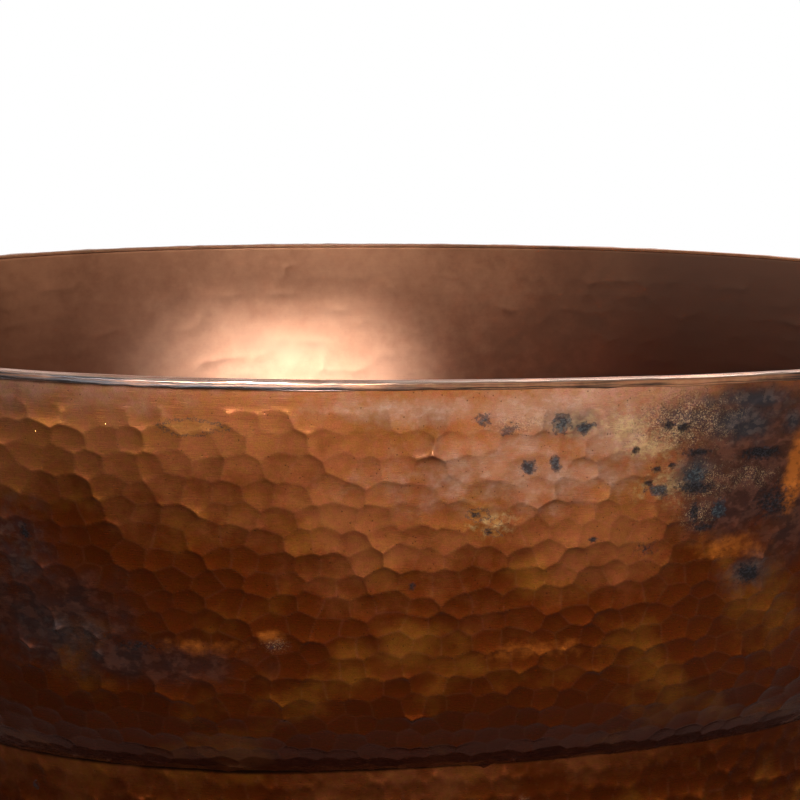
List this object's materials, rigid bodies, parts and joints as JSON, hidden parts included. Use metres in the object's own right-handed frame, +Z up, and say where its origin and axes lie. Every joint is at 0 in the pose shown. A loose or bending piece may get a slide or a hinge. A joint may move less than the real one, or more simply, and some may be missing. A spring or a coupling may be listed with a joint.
{
  "type": "freestanding bathtub",
  "caption": "Oval freestanding bathtub of hammered copper on a flared plinth, with a brass waste and overflow whose trip lever lifts the drain stopper.",
  "frame": {"origin": "on the floor under the middle of the bounding box, which is 26.8 mm from the tub's own middle towards the waste end", "axes": "+X runs along the tub from the waste end to the head end, +Y across it to the back, +Z up"},
  "size_m": [1.5734, 0.787, 0.62],
  "materials": {
    "copper": "hammered, mottled brown patina",
    "brass": "satin, lightly aged",
    "rubber": "matt black",
    "oak": "oiled, sawn"
  },
  "bodies": {
    "tub": {"front_wall_sheet": "copper", "back_wall_sheet": "copper", "turn_front_waste_end": "copper", "turn_front_middle": "copper", "turn_front_head_end": "copper", "turn_back_waste_end": "copper", "turn_back_middle": "copper", "turn_back_head_end": "copper", "floor_sheet": "copper", "rim_band": "copper", "plinth_front": "copper", "plinth_back": "copper", "foot_ring": "copper", "foot_strip": "rubber", "plinth_grommet": "rubber", "bearer_1": "oak", "bearer_2": "oak", "bearer_3": "oak", "bearer_pad_1": "rubber", "bearer_pad_2": "rubber", "bearer_pad_3": "rubber", "waste_tee": "brass", "tee_top_nut": "brass", "tee_top_washer": "rubber", "tee_side_nut": "brass", "tee_side_washer": "rubber", "tee_bottom_nut": "brass", "tee_bottom_washer": "rubber", "overflow_tube": "brass", "waste_tube": "brass", "tailpiece": "brass", "drain_shoe": "brass", "drain_flange": "brass", "drain_gasket": "rubber", "shoe_seal": "rubber", "shoe_nut": "brass", "shoe_washer": "rubber", "overflow_head": "brass", "overflow_gasket": "rubber", "overflow_plate": "brass", "plate_screw_front": "brass", "plate_screw_back": "brass", "lever_pin": "brass", "head_nut": "brass", "head_washer": "rubber"},
    "lever": {"trip_lever": "brass"},
    "linkage": {"linkage_rod": "brass"},
    "rocker": {"rocker_arm": "brass"},
    "stopper": {"stopper_cap": "brass", "stopper_seal": "rubber"}
  },
  "joints": [
    {"name": "lever_swing", "type": "hinge", "parent": "tub", "child": "lever", "pos_m": [-0.72367, 0, 0.49948], "axis": [0, 1, 0], "range_deg": [0, 40]},
    {"name": "linkage_lift", "type": "slide", "parent": "tub", "child": "linkage", "axis": [0, 0, 1], "range_m": [0, 0.02396]},
    {"name": "rocker_tilt", "type": "hinge", "parent": "tub", "child": "rocker", "pos_m": [-0.55618, 0, 0.0545], "axis": [0, 1, 0], "range_deg": [0, 6.82]},
    {"name": "stopper_drop", "type": "slide", "parent": "tub", "child": "stopper", "axis": [0, 0, -1], "range_m": [0, 0.01201]}
  ],
  "couplings": [
    {"joint": "linkage_lift", "follows": "lever_swing", "m_per_rad": 0.034293},
    {"joint": "rocker_tilt", "follows": "lever_swing", "ratio": 0.17025},
    {"joint": "stopper_drop", "follows": "lever_swing", "m_per_rad": 0.017189}
  ]
}
